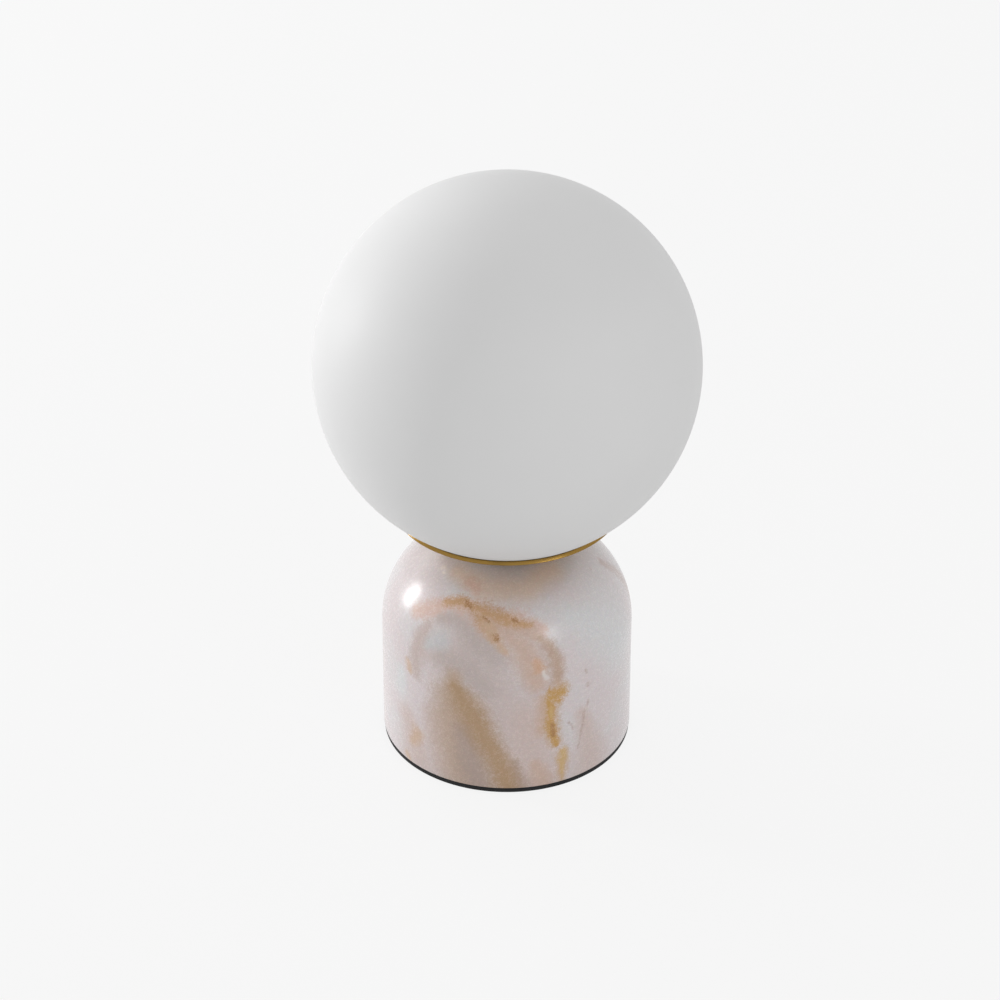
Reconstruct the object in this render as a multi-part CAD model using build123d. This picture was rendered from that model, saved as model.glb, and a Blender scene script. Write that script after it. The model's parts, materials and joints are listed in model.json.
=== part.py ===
from build123d import *
import math
import os

# A table lamp: an opal glass globe nested in a thin brass dish on a domed marble base.
# Millimetres. +Z is up, the lamp's axis is Z, the table is the plane z = 0, and the cable
# enters at the back, on +Y. The origin is the centre of the foot pad's underside.

# ---------------------------------------------------------------- driving dimensions
# Marble base and its foot
base_radius = 60.0
base_height = 105.5
crown_radius = 13.5  # flat land at the top, inside the domed shoulder
base_arris = 0.5
pad_thickness = 2.5
pad_inset = 0.3
recess_radius = 36.0
recess_depth = 25.0
recess_corner = 1.5

# Central tube, M10 x 1, and what it clamps
tube_radius = 5.0
tube_wall = 1.0
tube_stub = 1.0  # thread standing out below the lower nut
nut_flats = 14.0
nut_thickness = 3.0
washer_radius = 9.0
washer_thickness = 1.0
washer_teeth = 12
washer_tooth_depth = 1.6
washer_tooth_gap = 1.4
plate_radius = 33.0
plate_thickness = 1.5
gasket_thickness = 1.0
gasket_inset = 1.0
sleeve_length = 27.0
sleeve_wall = 1.3

# Brass dish, spun from one sheet
dish_sheet = 1.4
dish_globe_gap = 0.8
dish_edge_angle = 36.8  # from straight down, at the globe's centre
dish_edge_round = 0.35
well_bend = 1.0

# Glass globe and the silicone seal on its neck
globe_radius = 90.0
globe_wall = 3.0
neck_inner_radius = 22.0
neck_length = 2.5
neck_blend = 1.2
neck_lip_round = 0.9
seal_floor = 1.0
seal_outer_leg = 1.3
seal_inner_leg = 0.8
seal_inner_height = 4.0
seal_outer_height = 1.2

# Cable inlet at the back
inlet_height = 14.0
cable_radius = 3.1
grommet_wall = 1.6
grommet_length = 10.0
flange_width = 1.6
flange_thickness = 1.5
spotface_depth = 2.0

# Cord clamp under the plate
clamp_half_width = 9.5
clamp_depth = 5.5
clamp_split = 0.8
clamp_screw_spread = 6.6
saddle_thickness = 5.6
clamp_edge = 0.8

# Two-pole terminal block under the plate
block_half_width = 9.5
block_length = 15.0
block_height = 13.0
block_channel_drop = 6.5
block_edge = 0.8
pole_pitch = 9.5
barrel_radius = 2.5
barrel_bore = 1.6
barrel_inset = 1.0
terminal_screw_radius = 1.3
terminal_screw_spread = 8.0
terminal_well = 1.9
terminal_screw_sink = 1.0

# Screws, M3
screw_radius = 1.5
screw_head_radius = 2.75
screw_head_height = 1.9
screw_slot_width = 0.7
screw_slot_depth = 0.8

# Leads, single core
lead_radius = 0.95
lead_offset = 1.5  # from the axis, inside the tube
lead_bend = 4.0
lead_grip = 4.0  # length held in the terminal barrel

# Lampholder: metal cup, ceramic body and sprung contacts
cup_inner_radius = 13.5
cup_wall = 0.9
cup_floor = 1.5
cup_boss_radius = 8.5
cup_boss_height = 5.0
cup_lip_gap = 1.0  # the ceramic stands this much above the cup
holder_height = 21.5
holder_chamber_radius = 11.2
holder_chamber_height = 7.6
holder_edge = 0.8
holder_screw_spread = 9.3
holder_pillar_radius = 3.0
holder_counterbore = 2.4
plug_slot_depth = 6.5
pin_pitch = 9.0
contact_sheet = 0.4
contact_width = 3.6
contact_flare = 0.5
contact_drop = 11.0  # strap's underside below the slot floor
grub_recess = 0.2
grub_socket = 0.8

# Bulb: plug-in capsule with two wire-loop pins
plug_length = 14.6
plug_width = 5.6
bulb_collar_height = 6.0
bulb_collar_foot = 7.8
bulb_collar_flare = 2.5
bulb_radius = 8.5
bulb_wall = 1.0
bulb_length = 39.0
pin_wire_radius = 0.45
pin_loop_width = 2.2
pin_length = 10.0
board_thickness = 1.6
board_width = 9.0
board_clearance = 2.0

# Fits
slip = 0.1  # a screw or tube in its hole
thread_fit = 0.05  # an engaged thread, drawn plain
seat_gap = 0.3  # between pieces that part in use
plug_play = 0.4
seal_play = 0.4
tube_play = 0.25
stone_fit = 0.1  # the grommet in the marble

# ---------------------------------------------------------------- heights, bottom to top
base_bottom = pad_thickness
base_top = base_bottom + base_height
shoulder_radius = base_radius - crown_radius
shoulder_height = base_top - shoulder_radius
ceiling = base_bottom + recess_depth
plate_bottom = ceiling - plate_thickness
lower_nut_top = plate_bottom - washer_thickness
lower_nut_bottom = lower_nut_top - nut_thickness
tube_bottom = lower_nut_bottom - tube_stub
dish_underside = base_top + gasket_thickness
dish_floor = dish_underside + dish_sheet
upper_nut_bottom = dish_floor + washer_thickness
upper_nut_top = upper_nut_bottom + nut_thickness
cup_bottom = upper_nut_top + sleeve_length
cup_floor_top = cup_bottom + cup_boss_height + cup_floor
tube_top = cup_floor_top - 0.5
holder_top = cup_floor_top + holder_height
slot_floor = holder_top - plug_slot_depth
strap_bottom = slot_floor - contact_drop
neck_bottom = dish_floor + seat_gap + seal_floor
neck_outer_radius = neck_inner_radius + globe_wall
neck_root = neck_bottom + neck_length
globe_centre = neck_root + math.sqrt(globe_radius ** 2 - neck_outer_radius ** 2)
inner_radius = globe_radius - globe_wall
dish_inner_radius = globe_radius + dish_globe_gap
well_radius = neck_outer_radius + seal_outer_leg + seal_play
bulb_seat = holder_top + seat_gap
capsule_bottom = bulb_seat + bulb_collar_height

# ---------------------------------------------------------------- places under the plate
block_near = washer_radius + 1.0
block_middle = block_near + block_length / 2
clamp_near = block_near + block_length + 1.5
clamp_middle = clamp_near + clamp_depth / 2
channel_height = plate_bottom - block_channel_drop
block_bottom = plate_bottom - block_height
clamp_block_bottom = inlet_height + clamp_split / 2
saddle_top = inlet_height - clamp_split / 2
saddle_bottom = saddle_top - saddle_thickness


# ---------------------------------------------------------------- shared shapes
def tube_between(low, high, outer, inner):
    """A plain tube on the lamp's axis."""
    ring = Circle(outer) - Circle(inner)
    return Pos(0, 0, low) * extrude(ring, high - low)


def rod_between(low, high, radius, x=0.0, y=0.0):
    """An upright rod."""
    return Pos(x, y, low) * extrude(Circle(radius), high - low)


def block_between(low, high, half_x, y_low, y_high):
    """An upright block, centred on x = 0."""
    middle = (y_low + y_high) / 2
    return Pos(0, middle, low) * extrude(Rectangle(2 * half_x, y_high - y_low), high - low)


def around_axis(outline):
    """Turn a half section, drawn with X as radius and Y as height, about the lamp's axis."""
    return revolve(Plane.XZ * outline, Axis.Z)


def hex_nut(low):
    bore = Circle(tube_radius + thread_fit)
    nut = extrude(RegularPolygon(nut_flats / 2, 6, major_radius=False) - bore, nut_thickness)
    return Pos(0, 0, low) * nut


def lock_washer(low):
    """External-tooth lock washer."""
    ring = Circle(washer_radius) - Circle(tube_radius + slip)
    notch = Rectangle(2 * washer_tooth_depth, washer_tooth_gap)
    notches = PolarLocations(washer_radius, washer_teeth) * notch
    return Pos(0, 0, low) * extrude(ring - notches, washer_thickness)


def screw_from_below(x, y, seat, tip):
    """A slotted cheese-head screw, its head under seat and its tip up at tip."""
    head = rod_between(seat - screw_head_height, seat, screw_head_radius, x, y)
    slot = Box(3 * screw_head_radius, screw_slot_width, 2 * screw_slot_depth)
    head -= Pos(x, y, seat - screw_head_height) * slot
    return head + rod_between(seat, tip, screw_radius, x, y)


# ---------------------------------------------------------------- base
def make_foot_pad():
    pad = extrude(Circle(base_radius - pad_inset), pad_thickness)
    return chamfer(pad.edges().group_by(Axis.Z)[0], pad_inset)


def make_marble_base():
    """Turned and polished stone: straight wall, domed shoulder, flat crown."""
    wall_start = (base_radius, base_bottom + base_arris)
    side = Line(wall_start, (base_radius, shoulder_height))
    shoulder = RadiusArc(side @ 1, (crown_radius, base_top), -shoulder_radius)
    arris = base_radius - base_arris
    rest = Polyline(
        shoulder @ 1, (0, base_top), (0, base_bottom), (arris, base_bottom), wall_start
    )
    stone = around_axis(make_face(side + shoulder + rest))
    recess = rod_between(base_bottom, ceiling, recess_radius)
    recess = fillet(recess.edges().group_by(Axis.Z)[-1], recess_corner)
    stone -= recess
    stone -= rod_between(base_bottom, base_top, tube_radius + tube_play)
    inlet = Plane.XZ.offset(-base_radius) * Circle(cable_radius + grommet_wall + stone_fit)
    stone -= Pos(0, 0, inlet_height) * extrude(inlet, base_radius)
    spot = Plane.XZ.offset(-base_radius) * Circle(flange_radius() + stone_fit)
    stone -= Pos(0, 0, inlet_height) * extrude(spot, spotface_depth)
    return stone


def flange_radius():
    return cable_radius + grommet_wall + flange_width


def make_cable_grommet():
    """Bush with an outer flange, pressed into the marble from the back."""
    face = base_radius - spotface_depth
    bore = cable_radius + slip
    barrel = cable_radius + grommet_wall
    outline = Polyline(
        (bore, -grommet_length),
        (barrel, -grommet_length),
        (barrel, 0),
        (flange_radius(), 0),
        (flange_radius(), flange_thickness),
        (bore, flange_thickness),
        close=True,
    )
    bush = around_axis(make_face(outline))
    rim = bush.edges().filter_by(GeomType.CIRCLE).group_by(Axis.Z)[-1].sort_by(SortBy.RADIUS)[-1]
    bush = fillet(rim, flange_thickness / 2)
    return Pos(0, face, inlet_height) * Rot(-90, 0, 0) * bush


def make_retaining_plate():
    """Steel disc that bears on the recess ceiling and carries the block and the clamp."""
    plate = tube_between(plate_bottom, ceiling, plate_radius, tube_radius + slip)
    for x, y in [(0, block_middle)] + clamp_screw_places():
        plate -= rod_between(plate_bottom, ceiling, screw_radius + thread_fit, x, y)
    return plate


def make_threaded_tube():
    return tube_between(tube_bottom, tube_top, tube_radius, tube_radius - tube_wall)


# ---------------------------------------------------------------- cord clamp and terminals
def clamp_screw_places():
    return [(-clamp_screw_spread, clamp_middle), (clamp_screw_spread, clamp_middle)]


def clamp_part(low, high):
    """A bar across the cable with a half-round groove and two screw holes."""
    bar = block_between(low, high, clamp_half_width, clamp_near, clamp_near + clamp_depth)
    bar = fillet(bar.edges().filter_by(Axis.Z), clamp_edge)
    groove = Plane.XZ.offset(-clamp_near - clamp_depth) * Circle(cable_radius)
    bar -= Pos(0, 0, inlet_height) * extrude(groove, clamp_depth)
    for x, y in clamp_screw_places():
        bar -= rod_between(low, high, screw_radius + slip, x, y)
    return bar


def make_clamp_block():
    return clamp_part(clamp_block_bottom, plate_bottom)


def make_clamp_saddle():
    return clamp_part(saddle_bottom, saddle_top)


def make_clamp_screws():
    return [screw_from_below(x, y, saddle_bottom, ceiling) for x, y in clamp_screw_places()]


def pole_places():
    return [-pole_pitch / 2, pole_pitch / 2]


def along_block(radius, inset=0.0):
    """A round bar along Y through the terminal block, at the wire channel's height."""
    circle = Plane.XZ.offset(-block_near - block_length + inset) * Circle(radius)
    return Pos(0, 0, channel_height) * extrude(circle, block_length - 2 * inset)


def terminal_screw_places():
    half = terminal_screw_spread / 2
    return [(x, block_middle + dy) for x in pole_places() for dy in (-half, half)]


def make_terminal_block():
    """Moulded block: two wire channels, screw wells from below, one fixing hole."""
    far = block_near + block_length
    body = block_between(block_bottom, plate_bottom, block_half_width, block_near, far)
    body = fillet(body.edges().filter_by(Axis.Z), block_edge)
    for x in pole_places():
        body -= Pos(x, 0, 0) * along_block(barrel_radius + slip)
    for x, y in terminal_screw_places():
        body -= rod_between(block_bottom, channel_height, terminal_well, x, y)
    body -= rod_between(block_bottom, plate_bottom, screw_radius + slip, 0, block_middle)
    return body


def make_terminal_barrels():
    """Brass tubes that join each supply wire to a lead."""
    barrels = []
    for x in pole_places():
        barrel = along_block(barrel_radius, barrel_inset) - along_block(barrel_bore)
        barrel = Pos(x, 0, 0) * barrel
        for screw_x, y in terminal_screw_places():
            if screw_x == x:
                hole = terminal_screw_radius + thread_fit
                barrel -= rod_between(block_bottom, channel_height, hole, x, y)
        barrels.append(barrel)
    return barrels


def make_terminal_screws():
    tip = channel_height - lead_radius - thread_fit
    foot = block_bottom + terminal_screw_sink
    screws = []
    for x, y in terminal_screw_places():
        screw = rod_between(foot, tip, terminal_screw_radius, x, y)
        slot = Box(4 * terminal_screw_radius, screw_slot_width, 2 * screw_slot_depth)
        screws.append(screw - Pos(x, y, foot) * slot)
    return screws


def make_block_screw():
    return screw_from_below(0, block_middle, block_bottom, ceiling)


def make_lead(side):
    """One insulated core, from the terminal barrel up the tube to its contact."""
    pole = side * pole_pitch / 2
    inner = side * lead_offset
    pin = side * pin_pitch / 2
    lead_out = tube_top + 0.3
    turn_up = lead_out + abs(pin - inner)
    route = FilletPolyline(
        (pole, block_near + barrel_inset + lead_grip, channel_height),
        (pole, block_near - 1.0, channel_height),
        (inner, 0, channel_height),
        (inner, 0, lead_out),
        (pin, 0, turn_up),
        (pin, 0, strap_bottom - thread_fit),
        radius=[3.0, lead_bend, 1.2, 1.2],
    )
    section = Plane(origin=route @ 0, z_dir=route % 0) * Circle(lead_radius)
    return sweep(section, path=route)


# ---------------------------------------------------------------- dish and stem
def make_dish_gasket():
    outer = crown_radius - gasket_inset
    return tube_between(base_top, dish_underside, outer, tube_radius + tube_play)


def on_sphere(radius, angle):
    """Point of a sphere about the globe's centre, angle in degrees from straight down."""
    turn = math.radians(angle)
    return (radius * math.sin(turn), globe_centre - radius * math.cos(turn))


def angle_at(radius, reach):
    """Angle from straight down where that sphere is a given distance from the axis."""
    return math.degrees(math.asin(reach / radius))


def sphere_arc(radius, start, end):
    """Arc of that sphere's outline between two angles."""
    middle = (start + end) / 2
    return ThreePointArc(on_sphere(radius, start), on_sphere(radius, middle), on_sphere(radius, end))


def make_brass_dish():
    """Flat floor, a pressed well for the globe's neck, and a rim that follows the globe."""
    outer_radius = dish_inner_radius + dish_sheet
    hole = tube_radius + slip
    well_outer = well_radius + dish_sheet
    inside = sphere_arc(dish_inner_radius, angle_at(dish_inner_radius, well_radius), dish_edge_angle)
    outside = sphere_arc(outer_radius, dish_edge_angle, angle_at(outer_radius, well_outer))
    inner_foot = inside @ 0
    inner_edge = inside @ 1
    outer_edge = outside @ 0
    outer_foot = outside @ 1
    outline = [
        Line((hole, dish_floor), (well_radius, dish_floor)),
        Line((well_radius, dish_floor), inner_foot),
        inside,
        Line(inner_edge, outer_edge),
        outside,
        Line(outer_foot, (well_outer, dish_underside)),
        Line((well_outer, dish_underside), (hole, dish_underside)),
        Line((hole, dish_underside), (hole, dish_floor)),
    ]
    half = make_face(Curve() + outline)
    half = round_corner(half, (well_radius, dish_floor, 0), well_bend)
    half = round_corner(half, (well_outer, dish_underside, 0), well_bend + dish_sheet)
    half = round_corner(half, inner_foot, well_bend)
    half = round_corner(half, outer_foot, well_bend / 2)
    half = round_corner(half, inner_edge, dish_edge_round)
    half = round_corner(half, outer_edge, dish_edge_round)
    return around_axis(half)


def round_corner(face, corner, radius):
    """Round the corner of a half section that lies at a point."""
    nearest = face.vertices().sort_by_distance(corner)[0]
    return fillet(nearest, radius)


def make_stem_sleeve():
    inner = tube_radius + tube_play
    return tube_between(upper_nut_top, cup_bottom, inner + sleeve_wall, inner)


# ---------------------------------------------------------------- lampholder
def make_holder_cup():
    """Turned metal cup with a threaded boss, closed by the ceramic body."""
    hole = tube_radius + thread_fit
    outer = cup_inner_radius + cup_wall
    under = cup_bottom + cup_boss_height
    rim = holder_top - cup_lip_gap
    outline = Polyline(
        (hole, cup_bottom),
        (cup_boss_radius, cup_bottom),
        (cup_boss_radius, under),
        (outer, under),
        (outer, rim),
        (cup_inner_radius, rim),
        (cup_inner_radius, cup_floor_top),
        (hole, cup_floor_top),
        close=True,
    )
    half = make_face(outline)
    half = round_corner(half, (outer, under, 0), cup_floor)
    half = round_corner(half, (cup_boss_radius, cup_bottom, 0), cup_wall)
    half = round_corner(half, (outer, rim, 0), cup_wall / 3)
    cup = around_axis(half)
    cup -= grub_rod(screw_radius + thread_fit, 0, cup_boss_radius)
    for y in (-holder_screw_spread, holder_screw_spread):
        cup -= rod_between(under, cup_floor_top, screw_radius + thread_fit, 0, y)
    return cup


def grub_rod(radius, near, far):
    """A rod along -Y through the cup's boss."""
    height = cup_bottom + cup_boss_height / 2
    return Pos(0, 0, height) * extrude(Plane.XZ.offset(near) * Circle(radius), far - near)


def make_holder_grub_screw():
    near = tube_radius + thread_fit
    far = cup_boss_radius - grub_recess
    socket = grub_rod(grub_socket, (near + far) / 2, far)
    return grub_rod(screw_radius, near, far) - socket


def holder_screw_places():
    return [(0, -holder_screw_spread), (0, holder_screw_spread)]


def make_holder_body():
    """Ceramic: plug slot on top, two contact pockets, wiring chamber below, two pillars."""
    body = rod_between(cup_floor_top, holder_top, cup_inner_radius - seat_gap)
    body = chamfer(body.edges().group_by(Axis.Z)[-1], holder_edge)
    chamber_top = cup_floor_top + holder_chamber_height
    body -= rod_between(cup_floor_top, chamber_top, holder_chamber_radius)
    wall = rod_between(cup_floor_top, chamber_top, cup_inner_radius - seat_gap)
    for x, y in holder_screw_places():
        body += rod_between(cup_floor_top, chamber_top, holder_pillar_radius, x, y) & wall
    slot = SlotOverall(plug_length + 2 * plug_play, plug_width + 2 * plug_play)
    body -= Pos(0, 0, slot_floor) * extrude(slot, plug_slot_depth)
    pocket_y = 2 * (contact_outside() + 2 * slip)
    pocket = Rectangle(contact_width + 2 * seat_gap, pocket_y)
    for x in pin_places():
        body -= Pos(x, 0, chamber_top) * extrude(pocket, slot_floor - chamber_top)
    head_room = screw_head_radius + slip
    for x, y in holder_screw_places():
        body -= rod_between(cup_floor_top, holder_top, screw_radius + slip, x, y)
        body -= rod_between(holder_top - holder_counterbore, holder_top, head_room, x, y)
    return body


def make_holder_screws():
    """Screws down through the ceramic into the cup's floor."""
    seat = holder_top - holder_counterbore
    under = cup_floor_top - cup_floor
    screws = []
    for x, y in holder_screw_places():
        head = rod_between(seat, seat + screw_head_height, screw_head_radius, x, y)
        slot = Box(3 * screw_head_radius, screw_slot_width, 2 * screw_slot_depth)
        head -= Pos(x, y, seat + screw_head_height) * slot
        screws.append(head + rod_between(under, seat, screw_radius, x, y))
    return screws


def pin_places():
    return [-pin_pitch / 2, pin_pitch / 2]


def contact_inside():
    return pin_wire_radius + slip


def contact_outside():
    return contact_inside() + contact_sheet


def make_holder_contacts():
    """Each contact is a strip bent to a U, its two leaves gripping the pin's loop."""
    low = strap_bottom
    high = slot_floor - 2 * contact_flare
    inside = contact_inside()
    outside = contact_outside()
    outline = Polyline(
        (-outside, low),
        (outside, low),
        (outside, high),
        (inside, high),
        (inside, low + contact_sheet),
        (-inside, low + contact_sheet),
        (-inside, high),
        (-outside, high),
        close=True,
    )
    strip = extrude(Plane.YZ * make_face(outline), contact_width / 2, both=True)
    return [Pos(x, 0, 0) * strip for x in pin_places()]


# ---------------------------------------------------------------- globe
def make_glass_globe():
    """Blown shell with a short neck: fire-polished lip, blended into the sphere."""
    outside = sphere_arc(globe_radius, angle_at(globe_radius, neck_outer_radius), 180)
    inside = sphere_arc(inner_radius, 180, angle_at(inner_radius, neck_inner_radius))
    outer_foot = outside @ 0
    inner_foot = inside @ 1
    outline = [
        outside,
        Line(outside @ 1, inside @ 0),
        inside,
        Line(inner_foot, (neck_inner_radius, neck_bottom)),
        Line((neck_inner_radius, neck_bottom), (neck_outer_radius, neck_bottom)),
        Line((neck_outer_radius, neck_bottom), outer_foot),
    ]
    half = make_face(Curve() + outline)
    half = round_corner(half, outer_foot, neck_blend)
    half = round_corner(half, inner_foot, neck_blend)
    half = round_corner(half, (neck_outer_radius, neck_bottom, 0), neck_lip_round)
    half = round_corner(half, (neck_inner_radius, neck_bottom, 0), neck_lip_round)
    return around_axis(half)


def make_globe_seal():
    """Silicone channel pushed over the neck's lip."""
    inner = neck_inner_radius - seal_inner_leg
    outer = neck_outer_radius + seal_outer_leg
    floor = neck_bottom - seal_floor
    outline = Polyline(
        (inner, floor),
        (outer, floor),
        (outer, neck_bottom + seal_outer_height),
        (neck_outer_radius, neck_bottom + seal_outer_height),
        (neck_outer_radius, neck_bottom),
        (neck_inner_radius, neck_bottom),
        (neck_inner_radius, neck_bottom + seal_inner_height),
        (inner, neck_bottom + seal_inner_height),
        close=True,
    )
    return around_axis(make_face(outline))


# ---------------------------------------------------------------- bulb
def make_bulb_base():
    """Moulded plug with a round collar under the capsule."""
    plug_bottom = slot_floor + seat_gap
    plug = SlotOverall(plug_length, plug_width)
    plug = Pos(0, 0, plug_bottom) * extrude(plug, bulb_seat - plug_bottom)
    outline = Polyline(
        (0, bulb_seat),
        (bulb_collar_foot, bulb_seat),
        (bulb_radius, bulb_seat + bulb_collar_flare),
        (bulb_radius, capsule_bottom),
        (0, capsule_bottom),
        close=True,
    )
    return plug + around_axis(make_face(outline))


def make_bulb_pins():
    """Wire loops, open upwards, in the plug's broad plane."""
    top = slot_floor + seat_gap
    bottom = top - pin_length + pin_wire_radius
    half = pin_loop_width / 2
    pins = []
    for x in pin_places():
        down = Line((x - half, 0, top), (x - half, 0, bottom + half))
        bend = ThreePointArc(down @ 1, (x, 0, bottom), (x + half, 0, bottom + half))
        up = Line(bend @ 1, (x + half, 0, top))
        section = Plane(origin=down @ 0, z_dir=down % 0) * Circle(pin_wire_radius)
        pins.append(sweep(section, path=down + bend + up))
    return pins


def make_bulb_envelope():
    """Frosted capsule: a thin tube with a domed end."""
    dome_centre = capsule_bottom + bulb_length - bulb_radius
    inner = bulb_radius - bulb_wall
    outline = [
        Line((inner, capsule_bottom), (bulb_radius, capsule_bottom)),
        Line((bulb_radius, capsule_bottom), (bulb_radius, dome_centre)),
        RadiusArc((bulb_radius, dome_centre), (0, dome_centre + bulb_radius), -bulb_radius),
        Line((0, dome_centre + bulb_radius), (0, dome_centre + inner)),
        RadiusArc((0, dome_centre + inner), (inner, dome_centre), inner),
        Line((inner, dome_centre), (inner, capsule_bottom)),
    ]
    return around_axis(make_face(Curve() + outline))


def make_bulb_led_board():
    """Upright board that carries the emitters."""
    height = bulb_length - bulb_radius - board_clearance
    board = extrude(Rectangle(board_width, board_thickness), height)
    return Pos(0, 0, capsule_bottom) * board


# ---------------------------------------------------------------- writing the pieces
lamp = {
    "foot_pad": make_foot_pad(),
    "marble_base": make_marble_base(),
    "cable_grommet": make_cable_grommet(),
    "retaining_plate": make_retaining_plate(),
    "lower_lock_washer": lock_washer(lower_nut_top),
    "lower_nut": hex_nut(lower_nut_bottom),
    "threaded_tube": make_threaded_tube(),
    "clamp_block": make_clamp_block(),
    "clamp_saddle": make_clamp_saddle(),
    "clamp_screws": make_clamp_screws(),
    "terminal_block": make_terminal_block(),
    "terminal_barrels": make_terminal_barrels(),
    "terminal_screws": make_terminal_screws(),
    "block_screw": make_block_screw(),
    "live_lead": make_lead(1),
    "neutral_lead": make_lead(-1),
    "dish_gasket": make_dish_gasket(),
    "brass_dish": make_brass_dish(),
    "upper_lock_washer": lock_washer(dish_floor),
    "upper_nut": hex_nut(upper_nut_bottom),
    "stem_sleeve": make_stem_sleeve(),
    "holder_cup": make_holder_cup(),
    "holder_grub_screw": make_holder_grub_screw(),
    "holder_body": make_holder_body(),
    "holder_screws": make_holder_screws(),
    "holder_contacts": make_holder_contacts(),
    "glass_globe": make_glass_globe(),
    "globe_seal": make_globe_seal(),
    "bulb_base": make_bulb_base(),
    "bulb_pins": make_bulb_pins(),
    "bulb_envelope": make_bulb_envelope(),
    "bulb_led_board": make_bulb_led_board(),
}

os.makedirs("parts", exist_ok=True)
for name, shape in lamp.items():
    solids = shape if isinstance(shape, list) else [shape]
    export_step(Compound(children=solids), "parts/" + name + ".step")
    print(name, len(solids))
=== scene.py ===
import json
import math

import bmesh
import bpy
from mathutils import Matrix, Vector


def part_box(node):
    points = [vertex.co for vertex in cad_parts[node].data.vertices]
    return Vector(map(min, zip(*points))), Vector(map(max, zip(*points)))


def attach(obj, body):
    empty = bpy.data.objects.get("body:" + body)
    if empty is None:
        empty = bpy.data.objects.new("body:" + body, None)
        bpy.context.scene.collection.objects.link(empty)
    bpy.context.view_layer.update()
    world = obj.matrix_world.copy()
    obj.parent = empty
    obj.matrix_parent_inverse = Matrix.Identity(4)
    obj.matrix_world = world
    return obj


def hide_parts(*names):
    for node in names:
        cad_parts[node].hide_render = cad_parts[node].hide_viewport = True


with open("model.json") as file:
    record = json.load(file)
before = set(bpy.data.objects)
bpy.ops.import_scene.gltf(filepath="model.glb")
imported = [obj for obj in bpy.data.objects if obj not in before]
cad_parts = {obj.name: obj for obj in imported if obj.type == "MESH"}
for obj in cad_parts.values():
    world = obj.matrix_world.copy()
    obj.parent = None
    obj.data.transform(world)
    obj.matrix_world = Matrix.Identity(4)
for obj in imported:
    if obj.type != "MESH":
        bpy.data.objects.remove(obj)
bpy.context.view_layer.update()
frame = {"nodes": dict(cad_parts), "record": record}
print("frame loaded:", len(frame["nodes"]), "nodes")


# a node's radius, bottom and top, read from the frame, in metres
def spanOf(node):
    low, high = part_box(node)
    return (high.x - low.x) / 2, low.z, high.z


# the named values, as a list
def take(values, names):
    return [values[name] for name in names.split()]


marbleRadius, marbleFoot, marbleTop = spanOf("marble_base")
globeRadius, globeFoot, globeTop = spanOf("glass_globe")
globeCentre = globeTop - globeRadius


cameraValues = {
    "distance": 1.710,  # to the aim point
    "elevation": 32.6,  # degrees above the horizon
    "aimHeight": 0.1272,
    "aimSide": -0.0033,
    "lens": 130.6,
    "sensor": 36,
    "farthest": 100,
}


def makeCamera(values):
    elevation = math.radians(values["elevation"])
    back = values["distance"] * math.cos(elevation)
    up = values["distance"] * math.sin(elevation)
    place = Vector((values["aimSide"], -back, values["aimHeight"] + up))
    bpy.ops.object.camera_add(location=place, rotation=(math.radians(90) - elevation, 0, 0))
    camera = bpy.context.object
    camera.name = "photoCamera"
    camera.data.lens = values["lens"]
    camera.data.sensor_width = values["sensor"]
    camera.data.clip_end = values["farthest"]
    bpy.context.scene.camera = camera


makeCamera(cameraValues)
print("camera set")


# selecting and shaping
def clearSelection():
    if bpy.context.mode != "OBJECT":
        bpy.ops.object.mode_set(mode="OBJECT")
    for obj in list(bpy.context.selected_objects):
        obj.select_set(False)


def pick(obj):
    clearSelection()
    bpy.context.view_layer.objects.active = obj
    obj.select_set(True)


def editPiece(obj):
    pick(obj)
    bpy.ops.object.mode_set(mode="EDIT")
    bpy.ops.mesh.select_all(action="DESELECT")


def settle(obj):
    pick(obj)
    bpy.ops.object.transform_apply(location=True, rotation=True, scale=True)


past = 0.001  # how far a cutter reaches past a face
farPast = 0.01
flatAngle = 0.2  # two faces that meet by less, in radians, lie in one plane
weld = 1e-6  # corners closer than this are one
largeSides = 128  # sides of a round shape, by its size
mediumSides = 96
smallSides = 64
tinySides = 48
screwSides = 32


def selectAll(action="SELECT"):
    bpy.ops.mesh.select_all(action=action)


def selectWhere(obj, kind, test):
    bpy.ops.mesh.select_mode(type=kind)
    selectAll("DESELECT")
    mesh = bmesh.from_edit_mesh(obj.data)
    for part in (mesh.edges if kind == "EDGE" else mesh.verts):
        part.select_set(test(part))
    mesh.select_flush_mode()
    bmesh.update_edit_mesh(obj.data)


# test gets the edge's two corners
def selectEdges(obj, test):
    def chosen(edge):
        a, b = (obj.matrix_world @ corner.co for corner in edge.verts)
        flat = len(edge.link_faces) == 2 and edge.calc_face_angle() < flatAngle
        return test(a, b) and not flat
    selectWhere(obj, "EDGE", chosen)


def selectCorners(obj, test):
    selectWhere(obj, "VERT", lambda corner: test(obj.matrix_world @ corner.co))


# a test for the edges of a round loop at a height
def ringAt(height):
    return lambda a, b: max(abs(a.z - height), abs(b.z - height)) <= 10 * weld


def bevelEdges(obj, test, size, steps=3):
    editPiece(obj)
    selectEdges(obj, test)
    bpy.ops.mesh.bevel(offset=size, offset_type="OFFSET", segments=steps, affect="EDGES")
    clearSelection()


def applyModifier(obj, kind, **values):
    pick(obj)
    modifier = obj.modifiers.new(kind.lower(), kind)
    for name, value in values.items():
        setattr(modifier, name, value)
    bpy.ops.object.modifier_apply(modifier=modifier.name)


def cutWith(obj, cutter, operation="DIFFERENCE"):
    applyModifier(obj, "BOOLEAN", operation=operation, object=cutter, solver="EXACT")
    bpy.data.objects.remove(cutter)


def addPrimitive(name, operator, **given):
    clearSelection()
    operator(**given)
    obj = bpy.context.object
    obj.name = name
    settle(obj)
    return obj


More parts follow.
